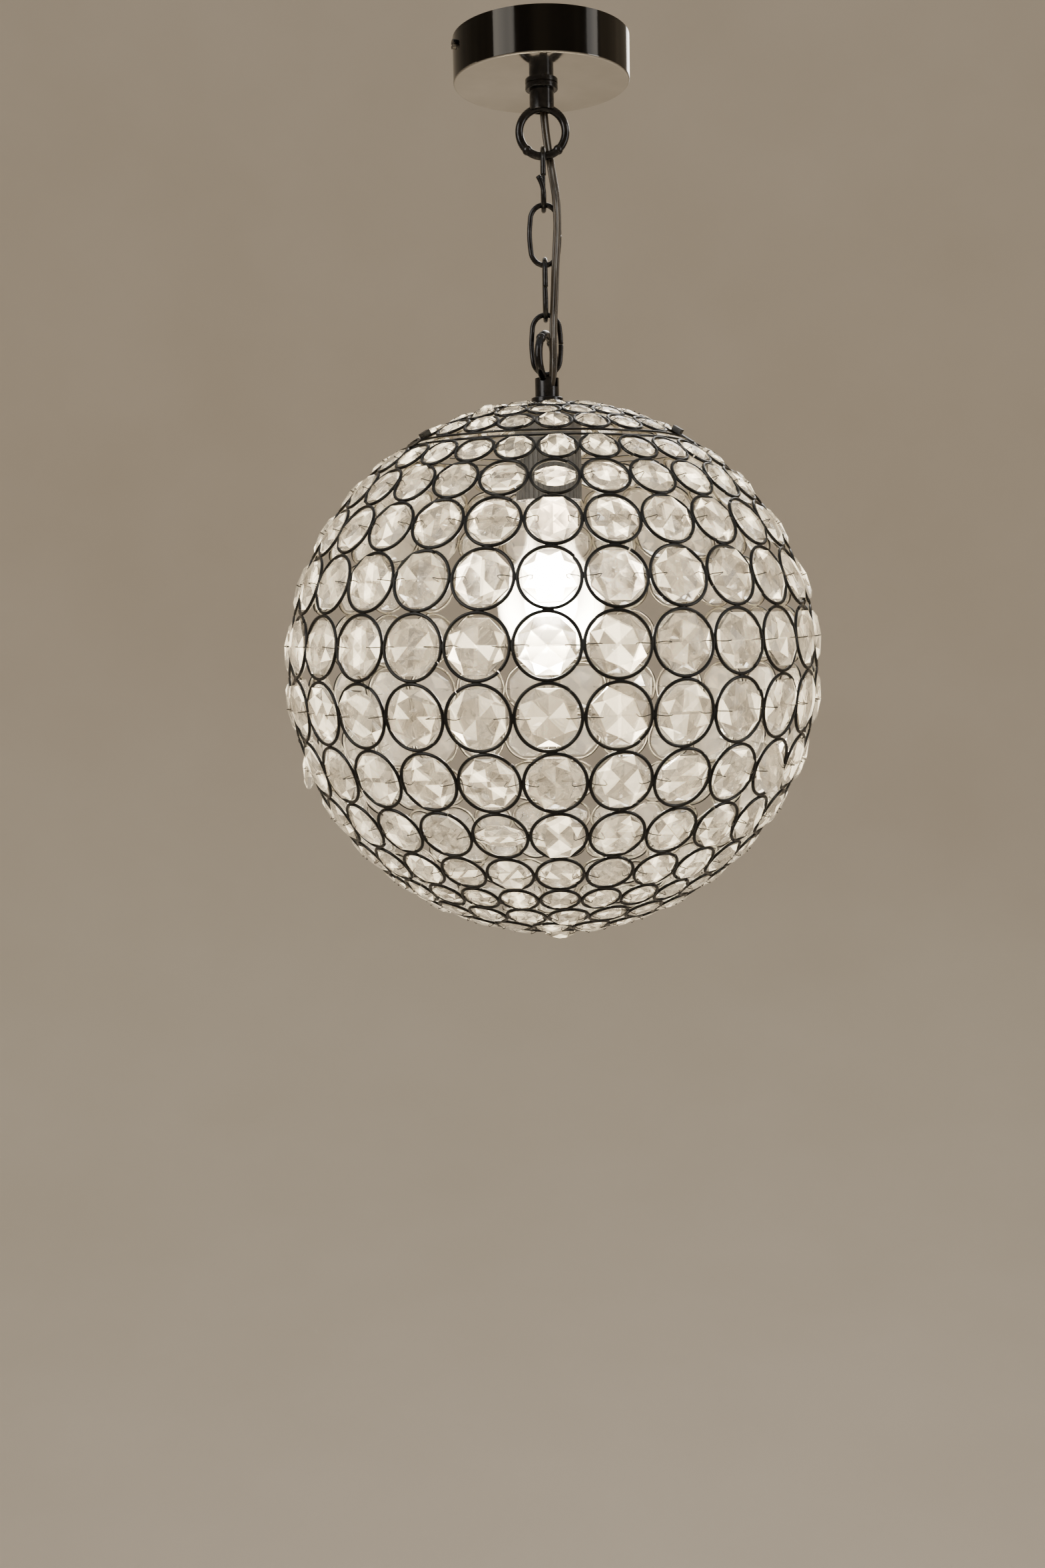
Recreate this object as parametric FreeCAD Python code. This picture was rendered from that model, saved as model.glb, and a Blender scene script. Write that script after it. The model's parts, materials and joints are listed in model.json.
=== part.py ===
"""Crystal-bead globe pendant lamp: ceiling cup, chain, flex, wire-ring globe, lampholder and bulb.

Millimetres, +Z up, the front faces -Y. The origin is the centre of the ceiling cup's rim, in the plane
of the ceiling, so the whole lamp hangs below z = 0. Every piece is a solid in its own STEP file."""
import FreeCAD, Part
import math
import os

V = FreeCAD.Vector
X_AXIS = V(1, 0, 0)
Y_AXIS = V(0, 1, 0)
Z_AXIS = V(0, 0, 1)

# ---- driving dimensions ----
GAP = 0.1                   # clearance between pieces that bear on each other

CUP_D = 97.0                # ceiling cup
CUP_H = 24.0
CUP_WALL = 1.0
CUP_EDGE = 1.2              # radius of its lower edge
BAR_TURN = 17.5             # the crossbar's angle from +X, which puts a side screw in view
BAR_W = 14.0
BAR_T = 1.5
BAR_TAB = 12.0              # the crossbar's ends, bent down inside the cup
BAR_HOLE_PCD = 60.0
BAR_HOLE_R = 2.25
SIDE_SCREW_Z = -7.2         # M2.5 screws through the cup's wall into the crossbar's ends
SIDE_SCREW_R = 1.2
SIDE_HOLE_R = 1.6
SIDE_TAP_R = 1.25
SIDE_SCREW_REACH = 4.0
SIDE_HEAD_R = 2.6
SIDE_HEAD_H = 1.8
SIDE_SLOT_W = 0.8
SIDE_SLOT_DEPTH = 0.35

BLOCK_W = 16.0              # two-way terminal block under the crossbar
BLOCK_DEPTH = 14.0
BLOCK_H = 9.4
BLOCK_LOW = -11.0
BLOCK_WIRE_DROP = 3.0       # how far the flex runs up into the block
TERMINAL_X = 4.0
TERMINAL_Z = -6.0
TERMINAL_HOLE_R = 1.7
TERMINAL_HOLE_L = 4.0
TERMINAL_SCREW_R = 1.5
TERMINAL_SCREW_L = 2.925
TERMINAL_SINK = 0.5         # screw heads below the block's face

THREAD_D = 10.0             # hollow M10 x 1 nipples, modelled plain
THREAD_BORE = 7.0
THREAD_FIT = 0.05
NUT_FLATS = 14.0
NUT_H = 3.0
WASHER_R = 8.0
WASHER_T = 1.0
NIPPLE_IN_LOOP = 2.5        # how far a nipple runs into a loop's foot
UPPER_NIPPLE_UP = 8.0
LAMP_NIPPLE_DOWN = 3.6      # below the lampholder's top

FLANGE_D = 18.0             # cast loops: flange, hollow neck and ring
FLANGE_T = 3.0
FLANGE_EDGE = 0.6
NECK_D = 13.5
NECK_BORE = 11.6
RING_D = 30.0
RING_WIRE_D = 4.4
RING_DROP = 25.0            # from the cup's face or the cap plate to the ring's centre
KNUCKLE_D = 5.4
KNUCKLE_TURN = 42.0         # the two knuckles' angle from the ring's far end
NECK_INTO_RING = 1.5
NOTCH_W = 4.6               # notch in the lower neck, where the flex goes in
NOTCH_H = 5.0
NOTCH_TURN = -50.0
LOWER_RING_TURN = 69.0      # the lower ring's plane, turned from the X axis

LINK_L = 35.4               # welded oval chain links
LINK_W = 17.0
LINK_WIRE = 2.8
LINKS = 4

FLEX_D = 3.0                # two-core flex
FLEX_SETBACK = 0.45         # how much of each straight run a bend may take

GLOBE_R = 150.0             # over the ring wires
WIRE_D = 1.4                # one crystal ring's wire
HOOP_WIRE_D = 1.8
COLUMNS = 27                # rings in each of the ten main rows
MAIN_ROWS = 5               # on each side of the equator
BOTTOM_ROWS = (21, 16, 10)
CAP_ROWS = (22, 18, 12)
CAP_START = 58.3            # latitude of the removable cap's lower edge
FRONT = -90.0               # the azimuth that faces -Y
MAIN_TURNS = (-2.1, -1.4, -0.4, 0.4, 1.7)       # hand-laid rows are each turned a little, degrees
LOWER_TURNS = (-2.1, -1.0, -0.4, -0.1, 0.0)
BOTTOM_TURNS = (3.5, -4.0, 2.0)
CAP_TURNS = (1.5, -3.0, 4.0)

BEAD_FILL = 0.83            # across the flats of a crystal, as a share of its ring's clear width
BEAD_THICK = 0.36           # and these are shares of its width across flats
BEAD_GIRDLE = 0.07
BEAD_SIDES = 8
SHOULDER_OUT = 0.56         # the crown's ring of upper corners, as a share of its radius
SHOULDER_UP = 0.62          # and of its height
BEAD_HOLE_OUT = 0.66        # where its two holes are, as a share of its half width
BEAD_HOLE_D = 1.1
HOOK_WIRE_D = 0.5           # a wire hook runs through each hole and ends at the ring

PLATE_T = 1.0
CLIPS = 3                   # spring clips between the cap and the globe
CLIP_W = 4.0
CLIP_T = 0.85
CLIP_STANDOFF = 0.15
CLIP_BLOCK_T = 2.85
CLIP_HOOK_IN = 3.0
CLIP_HOOK_T = 0.5           # this one and the next three are degrees of latitude
CLIP_BELOW = 1.1
CLIP_ABOVE = 1.4
CLIP_BLOCK_BELOW = 0.6

HOLDER_D = 38.0             # E27 lampholder
HOLDER_RIBS = 40
HOLDER_TOP = 6.0            # below the top of the globe
HOLDER_CAP_H = 16.0
HOLDER_CAP_EDGE = 5.0
HOLDER_CAP_ROOF = 4.0
HOLDER_WALL = 1.8
HOLDER_SHELL_H = 32.0
RIB_INSET = 0.3
GROOVE_R = 0.9
GROOVE_END = 2.0
COLLAR_INSET = 2.0
COLLAR_WALL = 0.8
COLLAR_H = 5.0
CORE_INSET = 3.0
CORE_UP = 4.5               # the core above and below the joint of holder cap and shell
CORE_DOWN = 6.0
CORE_HOLE_R = 2.5
CORE_HOLE_Y = 9.0
SLEEVE_FIT = 0.5
SLEEVE_WALL = 0.6
SLEEVE_H = 22.0
CONTACT_R = 4.0
CONTACT_H = 1.9

BULB_D = 62.0               # A60 bulb with an E27 cap
BULB_L = 113.0
BULB_GLASS = 0.9
BULB_CAP_D = 26.4
BULB_CAP_WALL = 1.0
BULB_CAP_BORE = 22.6
BULB_TIP_H = 5.0
BULB_TIP_R = 4.5
BULB_TIP_FOOT_R = 12.0
BULB_NECK_FIT = 0.6
BULB_NECK_BACK = 9.0
BULB_LEAN = 40.0            # where the ball turns into the neck, degrees
CAP_THREADS = 5
CAP_THREAD_PITCH = 3.6
CAP_THREAD_R = 0.95
CAP_THREAD_START = 3.0
BULB_NECK_IN = 2.0          # how far the glass runs up into the lampholder

# ---- heights that follow from them ----
CUP_FACE = -CUP_H
UPPER_RING_Z = CUP_FACE - RING_DROP
LINK_PITCH = LINK_L - 2 * LINK_WIRE - GAP
LINK_TOP = UPPER_RING_Z - RING_D / 2 + RING_WIRE_D + GAP + LINK_WIRE
CHAIN_END = LINK_TOP - (LINKS - 1) * LINK_PITCH - LINK_L
LOWER_RING_Z = CHAIN_END - GAP + RING_D / 2 - RING_WIRE_D
GLOBE_TOP = LOWER_RING_Z - RING_DROP
GLOBE_Z = GLOBE_TOP - GLOBE_R
HOLDER_Z = GLOBE_TOP - HOLDER_TOP
BULB_TIP_Z = HOLDER_Z - HOLDER_CAP_H - CORE_DOWN - CONTACT_H - 2 * GAP

# The flex's route, from the terminal block to the lampholder. It runs behind the upper ring, then down
# the right of the chain and in front of the face-on links.
FLEX_ROUTE = (
    (0.0, 0.0, -13.0), (0.2, 1.0, -23.5), (0.9, 4.15, -34.8), (1.9, 4.4, -48.0), (3.8, 4.3, -61.5),
    (5.3, 1.0, -73.0), (6.8, -3.2, -84.0), (7.4, -3.7, -97.5), (6.7, -3.4, -110.5), (5.7, -3.8, -123.5),
    (5.1, -3.5, -136.5), (4.3, -3.9, -149.5), (3.9, -3.7, -161.0), (3.8, -4.1, -171.5), (3.4, -4.1, -182.0),
    (1.3, -1.5, -191.5), (0.2, -0.3, -201.0), (0.3, 0.2, -211.0))
FLEX_CUTS = (-70.0, -101.0, -132.0, -163.0)     # each length of flex crosses one pivot


def save(name, shape):
    """Writes one node and says what it holds."""
    solids = shape.Solids
    shape.exportStep(f"parts/{name}.step")
    volume = sum(s.Volume for s in solids)
    print(f"{name}: {len(solids)} solids, {volume:.1f} mm3, valid {shape.isValid()}")


def rod(radius, low, high, x=0.0, y=0.0):
    """An upright round bar between two heights."""
    return Part.makeCylinder(radius, high - low, V(x, y, low))


def bar(radius, start, end):
    """A round bar from point to point."""
    way = end - start
    return Part.makeCylinder(radius, way.Length, start, way)


def hexagon(flats, low, high):
    """An upright hexagonal prism."""
    corner = flats / math.sqrt(3)
    turns = [math.radians(60 * k) for k in range(7)]
    points = [V(corner * math.cos(turn), corner * math.sin(turn), low) for turn in turns]
    return Part.Face(Part.makePolygon(points)).extrude(V(0, 0, high - low))


def bent_rod(radius, centre, axis, start, angle):
    """A round bar bent about an axis through centre, from start through angle degrees."""
    spoke = start - centre
    circle = Part.Circle(start, axis.cross(spoke), radius).toShape()
    return Part.Face(Part.Wire(circle)).revolve(centre, axis, angle)


def turned(outline):
    """A solid of revolution about Z, from a closed outline of edges in the XZ plane."""
    return Part.Face(Part.Wire(outline)).revolve(V(0, 0, 0), Z_AXIS, 360)


# ---- ceiling fitting ----

def on_crossbar(shape):
    """Turns a piece made along X to the crossbar's real direction."""
    shape.rotate(V(0, 0, 0), Z_AXIS, BAR_TURN)
    return shape


def side_screw_bar(radius, start, end):
    """A round bar on the side screws' axis, between two distances from the lamp's axis."""
    return bar(radius, V(start, 0, SIDE_SCREW_Z), V(end, 0, SIDE_SCREW_Z))


def build_ceiling_fitting():
    body = rod(CUP_D / 2, CUP_FACE, 0)
    rim = [e for e in body.Edges if e.BoundBox.ZMax < CUP_FACE + GAP]
    body = body.makeFillet(CUP_EDGE, rim)
    body = body.cut(rod(CUP_D / 2 - CUP_WALL, CUP_FACE + CUP_WALL, 1))
    body = body.cut(rod(THREAD_D / 2 + GAP, CUP_FACE - 1, 0))
    save("canopy_cup", body.cut(on_crossbar(side_screw_bar(SIDE_HOLE_R, -CUP_D, CUP_D))))

    half = CUP_D / 2 - CUP_WALL - GAP
    strip = Part.makeBox(2 * half, BAR_W, BAR_T, V(-half, -BAR_W / 2, -BAR_T))
    tabs = [Part.makeBox(BAR_T, BAR_W, BAR_TAB, V(x, -BAR_W / 2, -BAR_TAB)) for x in (-half, half - BAR_T)]
    inside = rod(half, -CUP_H, 1)
    strip = strip.multiFuse(tabs).common(inside).removeSplitter()
    for x in (-BAR_HOLE_PCD / 2, BAR_HOLE_PCD / 2):
        strip = strip.cut(rod(BAR_HOLE_R, -BAR_T - 1, 1, x))
    save("ceiling_bar", on_crossbar(strip.cut(side_screw_bar(SIDE_TAP_R, -CUP_D, CUP_D))))

    screws = []
    for side in (-1, 1):
        seat = side * (CUP_D / 2 + GAP)
        top = seat + side * SIDE_HEAD_H
        screw = side_screw_bar(SIDE_SCREW_R, side * (half - SIDE_SCREW_REACH), seat)
        screw = screw.fuse(side_screw_bar(SIDE_HEAD_R, seat, top))
        corner = V(top - SIDE_SLOT_W / 2, -CUP_D, SIDE_SCREW_Z - SIDE_SLOT_DEPTH)
        slot = Part.makeBox(SIDE_SLOT_W, 2 * CUP_D, 2 * SIDE_SLOT_DEPTH, corner)
        screws.append(on_crossbar(screw.cut(slot).removeSplitter()))
    save("side_screws", Part.Compound(screws))
    build_terminal_block()

    plate_top = CUP_FACE + CUP_WALL + GAP
    washer = rod(WASHER_R, plate_top, plate_top + WASHER_T)
    save("upper_nipple", hollow_nipple(CUP_FACE - NIPPLE_IN_LOOP, CUP_FACE + UPPER_NIPPLE_UP))
    save("upper_washer", washer.cut(rod(THREAD_D / 2 + THREAD_FIT, CUP_FACE, 0)))
    save("upper_locknut", lock_nut(plate_top + WASHER_T + GAP))


def build_terminal_block():
    block = Part.makeBox(BLOCK_W, BLOCK_DEPTH, BLOCK_H, V(-BLOCK_W / 2, -BLOCK_DEPTH / 2, BLOCK_LOW))
    flex_way = rod(FLEX_D / 2 + GAP, BLOCK_LOW - BLOCK_WIRE_DROP, BLOCK_LOW + BLOCK_WIRE_DROP)
    block = block.cut(flex_way)
    screws = []
    for x in (-TERMINAL_X, TERMINAL_X):
        for side in (-1, 1):
            face = V(x, side * BLOCK_DEPTH / 2, TERMINAL_Z)
            inward = V(0, -side, 0)
            head = face + inward * TERMINAL_SINK
            block = block.cut(bar(TERMINAL_HOLE_R, face, face + inward * TERMINAL_HOLE_L))
            screws.append(bar(TERMINAL_SCREW_R, head, head + inward * TERMINAL_SCREW_L))
    save("terminal_block", block)
    save("terminal_screws", Part.Compound(screws))


def hollow_nipple(low, high):
    return rod(THREAD_D / 2, low, high).cut(rod(THREAD_BORE / 2, low - 1, high + 1))


def lock_nut(low):
    high = low + NUT_H
    return hexagon(NUT_FLATS, low, high).cut(rod(THREAD_D / 2 + THREAD_FIT, low - 1, high + 1))


# ---- loops, chain and flex ----

def make_loop(foot, ring_z, plane_turn, notched):
    """A cast loop whose flange foot is at height foot and whose ring is centred at ring_z."""
    up = 1 if ring_z > foot else -1
    mid_r = (RING_D - RING_WIRE_D) / 2
    mouth = ring_z - up * (mid_r - NECK_INTO_RING)

    def tube(radius, start, end):
        return rod(radius, min(start, end), max(start, end))

    flange = tube(FLANGE_D / 2, foot, foot + up * FLANGE_T)
    flange = flange.makeFillet(FLANGE_EDGE, [e for e in flange.Edges if e.BoundBox.ZLength < GAP])
    neck = tube(NECK_D / 2, foot + up, mouth)
    bore = tube(NECK_BORE / 2, foot + up * FLANGE_T, mouth + up)
    thread = tube(THREAD_D / 2 + THREAD_FIT, foot - up, mouth)
    body = flange.fuse(neck).cut(bore).cut(thread)
    if notched:
        notch = Part.makeBox(NECK_D, NOTCH_W, NOTCH_H, V(0, -NOTCH_W / 2, mouth - NOTCH_H))
        notch.rotate(V(0, 0, 0), Z_AXIS, NOTCH_TURN)
        body = body.cut(notch)
    plane = V(math.cos(math.radians(plane_turn)), math.sin(math.radians(plane_turn)), 0)
    ring = Part.makeTorus(mid_r, RING_WIRE_D / 2, V(0, 0, ring_z), plane.cross(Z_AXIS))
    lean = math.radians(KNUCKLE_TURN)
    knuckle_z = V(0, 0, ring_z + up * mid_r * math.cos(lean))
    spread = plane * (mid_r * math.sin(lean))
    knuckles = [Part.makeSphere(KNUCKLE_D / 2, knuckle_z + spread * side) for side in (-1, 1)]
    return body.multiFuse([ring] + knuckles).removeSplitter()


def make_link(top, across):
    """An oval link whose highest point is at top, lying in the plane of Z and the across axis."""
    radius = LINK_WIRE / 2
    bend = LINK_W / 2 - radius
    high = top - LINK_W / 2
    low = top - LINK_L + LINK_W / 2
    normal = across.cross(Z_AXIS)
    pieces = []
    for side in (-1, 1):
        arm = across * (side * bend)
        pieces.append(bar(radius, arm + V(0, 0, low), arm + V(0, 0, high)))
    for height, turn in ((high, 180), (low, -180)):
        centre = V(0, 0, height)
        pieces.append(bent_rod(radius, centre, normal, centre + across * bend, turn))
    return pieces[0].multiFuse(pieces[1:])


def flex_pieces(route, radius):
    """Straight runs joined by tangent arcs, with the line's length and its tightest bend."""
    points = [V(*p) for p in route]
    pieces = []
    length = 0.0
    tightest = math.inf
    start = points[0]
    for before, corner, after in zip(points, points[1:], points[2:]):
        into = (corner - before).normalize()
        out = (after - corner).normalize()
        half_turn = into.getAngle(out) / 2
        setback = FLEX_SETBACK * min((corner - before).Length, (after - corner).Length)
        bend = setback / math.tan(half_turn)
        tightest = min(tightest, bend)
        arc_start = corner - into * setback
        axis = into.cross(out).normalize()
        centre = arc_start + axis.cross(into) * bend
        pieces.append(bar(radius, start, arc_start))
        pieces.append(bent_rod(radius, centre, axis, arc_start, math.degrees(2 * half_turn)))
        length += (arc_start - start).Length + bend * 2 * half_turn
        start = corner + out * setback
    pieces.append(bar(radius, start, points[-1]))
    length += (points[-1] - start).Length
    return pieces, length, tightest


def build_suspension():
    save("upper_loop", make_loop(CUP_FACE, UPPER_RING_Z, 0, False))
    for k in range(LINKS):
        across = Y_AXIS if k % 2 == 0 else X_AXIS
        save(f"link_{k + 1}", make_link(LINK_TOP - k * LINK_PITCH, across))
    save("lower_loop", make_loop(GLOBE_TOP, LOWER_RING_Z, LOWER_RING_TURN, True))

    pieces, length, tightest = flex_pieces(FLEX_ROUTE, FLEX_D / 2)
    flex = pieces[0].multiFuse(pieces[1:])
    section = math.pi * FLEX_D ** 2 / 4
    print(f"flex: length {length:.1f}, tightest bend {tightest:.1f}, "
          f"volume {flex.Volume:.1f} against {section * length:.1f}")
    bounds = (0.0,) + FLEX_CUTS + (GLOBE_Z,)
    for k, (high, low) in enumerate(zip(bounds, bounds[1:])):
        slab = Part.makeBox(CUP_D, CUP_D, high - low, V(-CUP_D / 2, -CUP_D / 2, low))
        save(f"flex_{k + 1}", flex.common(slab))


# ---- the globe ----

def half_angle(count, latitude):
    """The angular radius of a ring that touches its neighbours in a row of count, degrees."""
    return math.degrees(math.asin(math.sin(math.pi / count) * math.cos(math.radians(latitude))))


def stack_rows(counts, start):
    """Centre latitude and angular radius of each row, every row touching the one before it."""
    rows = []
    edge = start
    for count in counts:
        latitude = edge
        for _ in range(40):
            latitude = edge + half_angle(count, latitude)
        rows.append((count, latitude, half_angle(count, latitude)))
        edge = latitude + rows[-1][2]
    return rows, edge


def ring_sizes(angle):
    """Centreline radius of a ring's wire and the distance of its plane from the globe's centre."""
    line_r = GLOBE_R - WIRE_D / 2
    inset = math.degrees((WIRE_D / 2 + GAP / 4) / line_r)
    lean = math.radians(angle - inset)
    return line_r * math.sin(lean), line_r * math.cos(lean)


def ring_places(count, latitude, turn, reach):
    """Placements on the sphere from the front round: local +Z outwards, local +X along the row."""
    places = []
    for k in range(count):
        swing = FreeCAD.Rotation(Z_AXIS, turn + 360.0 * k / count)
        tip = FreeCAD.Rotation(X_AXIS, 90 - latitude)
        spin = swing.multiply(tip)
        outward = spin.multVec(Z_AXIS)
        places.append(FreeCAD.Placement(V(0, 0, GLOBE_Z) + outward * reach, spin))
    return places


def copies(shape, places):
    """The shape once at each placement."""
    moved = []
    for place in places:
        one = shape.copy()
        one.Placement = place.multiply(one.Placement)
        moved.append(one)
    return moved


def bead_profile(flats):
    """A crystal's corner radius, girdle height, crown height, and its shoulder's radius and height."""
    outer = flats / 2 / math.cos(math.pi / BEAD_SIDES)
    girdle = BEAD_GIRDLE * flats / 2
    crown = BEAD_THICK * flats / 2
    return outer, girdle, crown, SHOULDER_OUT * outer, girdle + (crown - girdle) * SHOULDER_UP


def make_bead(flats):
    """A cut crystal: an octagon girdle between two faceted crowns, drilled through near two flats."""
    outer, girdle, crown, shoulder_r, shoulder_z = bead_profile(flats)

    def spot(radius, step, height):
        turn = 2 * math.pi * (step + 0.5) / BEAD_SIDES
        return V(radius * math.cos(turn), radius * math.sin(turn), height)

    faces = []
    for k in range(BEAD_SIDES):
        top = [spot(outer, k, girdle), spot(outer, k + 1, girdle)]
        bottom = [spot(outer, k, -girdle), spot(outer, k + 1, -girdle)]
        faces.append([bottom[0], bottom[1], top[1], top[0]])
        for side, edge in ((1, top), (-1, bottom)):
            here = spot(shoulder_r, k - 0.5, side * shoulder_z)
            there = spot(shoulder_r, k + 0.5, side * shoulder_z)
            faces.append([edge[0], edge[1], there])
            faces.append([here, edge[0], there])
            faces.append([here, there, V(0, 0, side * crown)])
    shell = Part.Shell([Part.Face(Part.makePolygon(face + face[:1])) for face in faces])
    bead = Part.Solid(shell)
    if bead.Volume < 0:
        bead.reverse()
    for side in (-1, 1):
        bead = bead.cut(rod(BEAD_HOLE_D / 2, -2 * crown, 2 * crown, side * BEAD_HOLE_OUT * flats / 2))
    return bead


def make_hook(flats, ring_inside):
    """A closed hook of mitred wire at local +X: through the crystal's hole, and back at the inside of its ring."""
    _, girdle, _, shoulder_r, shoulder_z = bead_profile(flats)
    hole_x = BEAD_HOLE_OUT * flats / 2
    slope = (shoulder_z - girdle) / (flats / 2 - shoulder_r)
    rise = shoulder_z - slope * (hole_x - BEAD_HOLE_D / 2 - shoulder_r) + HOOK_WIRE_D / 2 + GAP
    end_x = ring_inside - HOOK_WIRE_D / 2 - GAP / 4
    corners = [V(hole_x, 0, rise), V(end_x, 0, rise), V(end_x, 0, -rise), V(hole_x, 0, -rise)]
    sides = []
    for start, end in zip(corners, corners[1:] + corners[:1]):
        along = (end - start).normalize() * HOOK_WIRE_D
        out = along.cross(Y_AXIS)
        outline = [start - along + out, end + along + out, end - along - out, start + along - out]
        wedge = Part.Face(Part.makePolygon(outline + outline[:1]))
        wedge.translate(Y_AXIS * -HOOK_WIRE_D)
        side = bar(HOOK_WIRE_D / 2, start - along, end + along)
        sides.append(side.common(wedge.extrude(Y_AXIS * (2 * HOOK_WIRE_D))))
    return sides[0].multiFuse(sides[1:]).Solids[0]


def build_row(row, side, turn):
    """One row's rings, crystals and the wire hooks that hold them."""
    count, latitude, angle = row
    ring_r, reach = ring_sizes(angle)
    inside = ring_r - WIRE_D / 2
    flats = BEAD_FILL * 2 * inside
    places = ring_places(count, side * latitude, turn, reach)
    hook = make_hook(flats, inside)
    other = hook.copy()
    other.rotate(V(0, 0, 0), Z_AXIS, 180)
    rings = copies(Part.makeTorus(ring_r, WIRE_D / 2), places)
    beads = copies(make_bead(flats), places)
    return rings, beads, copies(hook, places) + copies(other, places)


def make_hoop(latitude):
    """A round hoop of wire on the sphere at a latitude."""
    line_r = GLOBE_R - HOOP_WIRE_D / 2
    lean = math.radians(latitude)
    centre = V(0, 0, GLOBE_Z + line_r * math.sin(lean))
    return Part.makeTorus(line_r * math.cos(lean), HOOP_WIRE_D / 2, centre)


def make_cap_plate(edge):
    """The domed plate that closes the cap and carries the loop and the lampholder."""
    lean = math.radians(90 - edge)
    outline = []
    arcs = []
    for radius in (GLOBE_R, GLOBE_R - PLATE_T):
        ends = [V(radius * math.sin(a), 0, GLOBE_Z + radius * math.cos(a)) for a in (0, lean / 2, lean)]
        arcs.append(ends)
        outline.append(Part.Arc(*ends).toShape())
    outline.insert(1, Part.LineSegment(arcs[0][2], arcs[1][2]).toShape())
    outline.append(Part.LineSegment(arcs[1][0], arcs[0][0]).toShape())
    plate = turned(Part.__sortEdges__(outline))
    return plate.cut(rod(THREAD_D / 2 + GAP, GLOBE_Z, GLOBE_TOP + 1))


def make_clip(azimuth, cap_edge, globe_edge):
    """A spring clip: a block on the cap's hoop and a leg that hooks under the globe's hoop."""
    low = globe_edge - math.degrees(HOOP_WIRE_D / GLOBE_R) - CLIP_BELOW
    high = cap_edge + CLIP_ABOVE
    inner = GLOBE_R + CLIP_STANDOFF

    def slab(near, far, start, end):
        corners = []
        for radius, angle in ((near, start), (far, start), (far, end), (near, end)):
            lean = math.radians(angle)
            corners.append(V(radius * math.cos(lean), -CLIP_W / 2, GLOBE_Z + radius * math.sin(lean)))
        return Part.Face(Part.makePolygon(corners + corners[:1])).extrude(V(0, CLIP_W, 0))

    leg = slab(inner, inner + CLIP_T, low, high)
    block = slab(inner, inner + CLIP_BLOCK_T, cap_edge - CLIP_BLOCK_BELOW, high)
    hook = slab(inner - CLIP_STANDOFF - CLIP_HOOK_IN, inner + CLIP_T, low, low + CLIP_HOOK_T)
    clip = leg.multiFuse([block, hook]).removeSplitter()
    clip.rotate(V(0, 0, 0), Z_AXIS, azimuth)
    return clip


def save_row(name, row, side, turn, beads, hooks):
    """Saves a row's rings, and adds its crystals and hooks to the lists that hold them."""
    rings, row_beads, row_hooks = build_row(row, side, turn)
    save(name, Part.Compound(rings))
    beads.extend(row_beads)
    hooks.extend(row_hooks)


def build_globe():
    main, main_edge = stack_rows([COLUMNS] * MAIN_ROWS, 0.0)
    bottom, bottom_edge = stack_rows(BOTTOM_ROWS, main_edge)
    cap, cap_edge = stack_rows(CAP_ROWS, CAP_START)
    hoop_half = math.degrees((HOOP_WIRE_D / 2 + GAP) / GLOBE_R)

    beads, hooks = [], []
    for k, row in enumerate(cap):
        save_row(f"cap_ring_row_{len(cap) - k}", row, 1, CAP_TURNS[k], beads, hooks)
    save("cap_crystals", Part.Compound(beads))
    save("cap_crystal_hooks", Part.Compound(hooks))

    upper_hooks, lower_hooks = [], []
    for k, row in enumerate(main):
        beads = []
        save_row(f"globe_ring_row_{MAIN_ROWS - k:02d}", row, 1, MAIN_TURNS[k], beads, upper_hooks)
        save_row(f"globe_ring_row_{MAIN_ROWS + 1 + k:02d}", row, -1, LOWER_TURNS[k], beads, lower_hooks)
        save(f"crystals_size_{k + 1}", Part.Compound(beads))
    beads = []
    for k, row in enumerate(bottom):
        save_row(f"globe_ring_row_{2 * MAIN_ROWS + 1 + k:02d}", row, -1, BOTTOM_TURNS[k], beads, lower_hooks)
    save("bottom_crystals", Part.Compound(beads))
    save("upper_crystal_hooks", Part.Compound(upper_hooks))
    save("lower_crystal_hooks", Part.Compound(lower_hooks))

    save("cap_hoop", make_hoop(CAP_START - hoop_half))
    save("globe_hoop", make_hoop(main_edge + hoop_half))
    save("bottom_hoop", make_hoop(-bottom_edge - hoop_half))
    save("cap_plate", make_cap_plate(cap_edge + math.degrees(GAP / GLOBE_R)))
    first = FRONT + MAIN_TURNS[-1] + 4.5 * 360.0 / COLUMNS
    turns = [first + 360.0 * k / CLIPS for k in range(CLIPS)]
    clips = [make_clip(turn, CAP_START, main_edge + 2 * hoop_half) for turn in turns]
    save("spring_clips", Part.Compound(clips))
    for name, rows in (("main", main), ("bottom", bottom), ("cap", cap)):
        for count, latitude, angle in rows:
            width = 2 * GLOBE_R * math.sin(math.radians(angle))
            print(f"{name}: {count} rings at {latitude:.2f} deg, {width:.2f} mm")


# ---- lampholder and bulb ----

def make_ribbed_shell(low, high):
    reach = HOLDER_D / 2
    shell = rod(reach - RIB_INSET, low, high)
    grooves = []
    for k in range(HOLDER_RIBS):
        turn = 2 * math.pi * k / HOLDER_RIBS
        x, y = reach * math.cos(turn), reach * math.sin(turn)
        grooves.append(rod(GROOVE_R, low - 1, high - GROOVE_END, x, y))
    collar = rod(reach - COLLAR_INSET, high, high + COLLAR_H)
    bore = rod(reach - COLLAR_INSET - COLLAR_WALL, low - 1, high + COLLAR_H + 1)
    return shell.cut(Part.Compound(grooves)).fuse(collar).cut(bore)


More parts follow.
